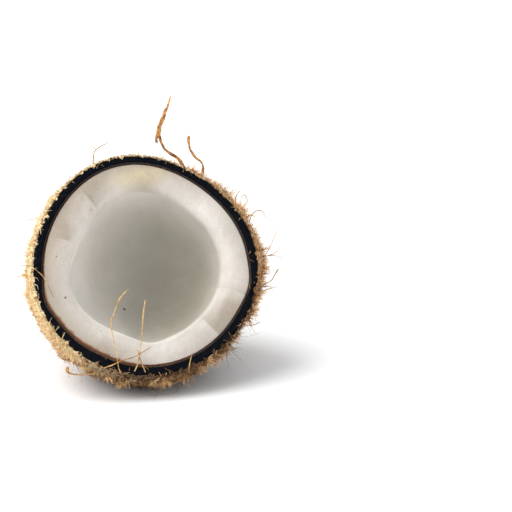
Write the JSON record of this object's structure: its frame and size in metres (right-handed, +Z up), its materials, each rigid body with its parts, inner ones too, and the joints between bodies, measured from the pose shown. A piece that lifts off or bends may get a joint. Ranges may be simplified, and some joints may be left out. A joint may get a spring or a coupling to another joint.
{
  "type": "coconut half",
  "caption": "Half of a mature coconut, lying on its side: white meat round an open hollow, dark hard shell and a brown fibre coat drawn back to a tuft.",
  "frame": {"origin": "centre of the overall box, on the surface that the half lies on", "axes": "+Z up, -Y the way the cut face looks (it also leans back by 32 degrees), +X to the right of someone who looks at the cut face"},
  "size_m": [0.1128, 0.1272, 0.1287],
  "materials": {
    "meat": "satin",
    "meat_skin": "matte",
    "hard_shell": "matte",
    "fibre": "matte"
  },
  "bodies": {
    "root": {"kernel": "meat", "seed_coat": "meat_skin", "shell": "hard_shell", "husk": "fibre"}
  },
  "joints": []
}
